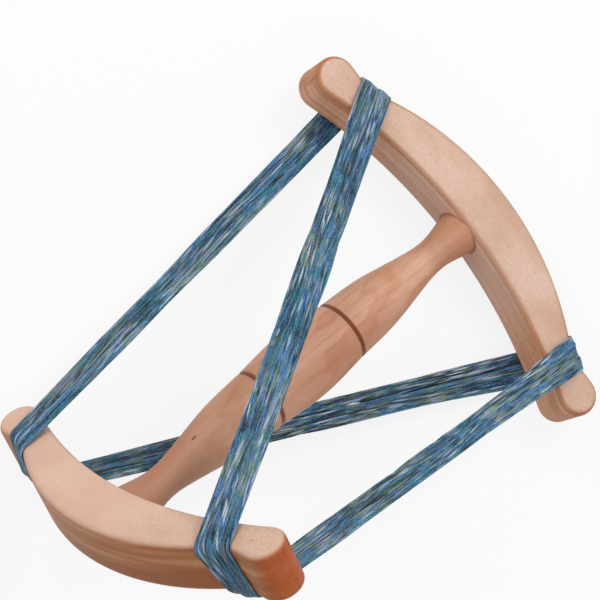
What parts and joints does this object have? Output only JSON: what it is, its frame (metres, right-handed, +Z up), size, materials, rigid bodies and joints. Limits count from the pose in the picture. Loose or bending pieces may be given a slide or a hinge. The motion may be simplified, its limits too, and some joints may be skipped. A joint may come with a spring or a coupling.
{
  "type": "niddy noddy",
  "caption": "Wooden niddy noddy: a turned handle with a crescent arm at each end, the arms set at an angle, holding a wound skein of handspun yarn.",
  "frame": {"origin": "on the table under the middle of the part's bounding box, as it lies on the crown and skein of one arm and on one tip of the other", "axes": "+Z up from the table, +X along the handle as seen from above, towards the upper arm"},
  "size_m": [0.2506, 0.2004, 0.1731],
  "materials": {
    "turned_handle": "satin",
    "arm_board": "satin",
    "yarn": "matte"
  },
  "bodies": {
    "frame": {"handle": "turned_handle", "lower_arm": "arm_board", "skein_inner_turns": "yarn", "skein_outer_turns": "yarn"},
    "upper_arm": {"upper_arm": "arm_board"}
  },
  "joints": [
    {"name": "upper_arm_swivel", "type": "hinge", "parent": "frame", "child": "upper_arm", "pos_m": [0.09742, 0, 0.02005], "axis": [0.9406, 0, -0.3396], "range_deg": [-20, 30], "deforming": ["skein_inner_turns", "skein_outer_turns"]}
  ]
}
